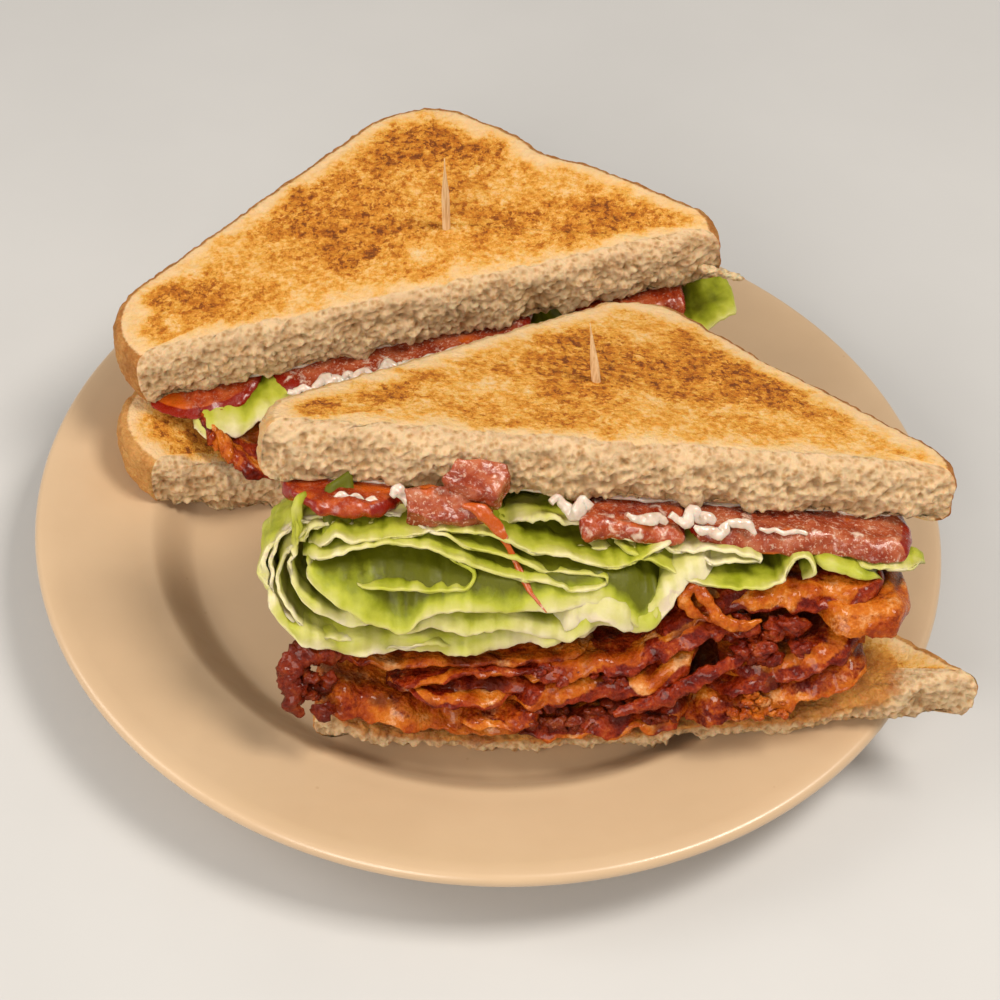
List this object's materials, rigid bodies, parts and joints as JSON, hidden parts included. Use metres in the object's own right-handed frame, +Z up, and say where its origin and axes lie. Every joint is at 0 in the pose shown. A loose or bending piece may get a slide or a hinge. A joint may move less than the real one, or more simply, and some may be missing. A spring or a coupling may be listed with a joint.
{
  "type": "bacon lettuce and tomato sandwich on a plate",
  "caption": "Toasted bacon, lettuce and tomato sandwich cut corner to corner, its halves held by toothpicks and served on a round tan plate.",
  "frame": {"origin": "middle of the plate's flat underside, where it stands", "axes": "+Z up; the cut faces of both halves look towards -Y; +X to the right seen from there"},
  "size_m": [0.2302, 0.228, 0.0883],
  "materials": {
    "plate": "smooth satin glaze, warm tan",
    "toast": "toasted white bread, golden brown faces, brown crust and pale torn crumb at the cut",
    "bacon": "fried, dark red and brown with amber fat, oily",
    "lettuce": "crisp pale green leaf, whiter at its ribs, slightly translucent",
    "tomato": "moist red flesh with a darker skin",
    "mayonnaise": "glossy off-white spread",
    "wood": "bare light wood"
  },
  "bodies": {
    "root": {"plate": "plate", "front_bread_bottom": "toast", "front_bread_top": "toast", "front_bacon_1": "bacon", "front_bacon_2": "bacon", "front_bacon_3": "bacon", "front_bacon_4": "bacon", "front_bacon_5": "bacon", "front_lettuce_1": "lettuce", "front_lettuce_2": "lettuce", "front_lettuce_3": "lettuce", "front_lettuce_4": "lettuce", "front_tomato_1": "tomato", "front_tomato_2": "tomato", "front_tomato_3": "tomato", "front_tomato_4": "tomato", "front_tomato_5": "tomato", "front_mayonnaise": "mayonnaise", "front_toothpick": "wood", "back_bread_bottom": "toast", "back_bread_top": "toast", "back_bacon_1": "bacon", "back_bacon_2": "bacon", "back_lettuce_1": "lettuce", "back_lettuce_2": "lettuce", "back_tomato_1": "tomato", "back_tomato_2": "tomato", "back_tomato_3": "tomato", "back_mayonnaise": "mayonnaise", "back_toothpick": "wood"}
  },
  "joints": []
}
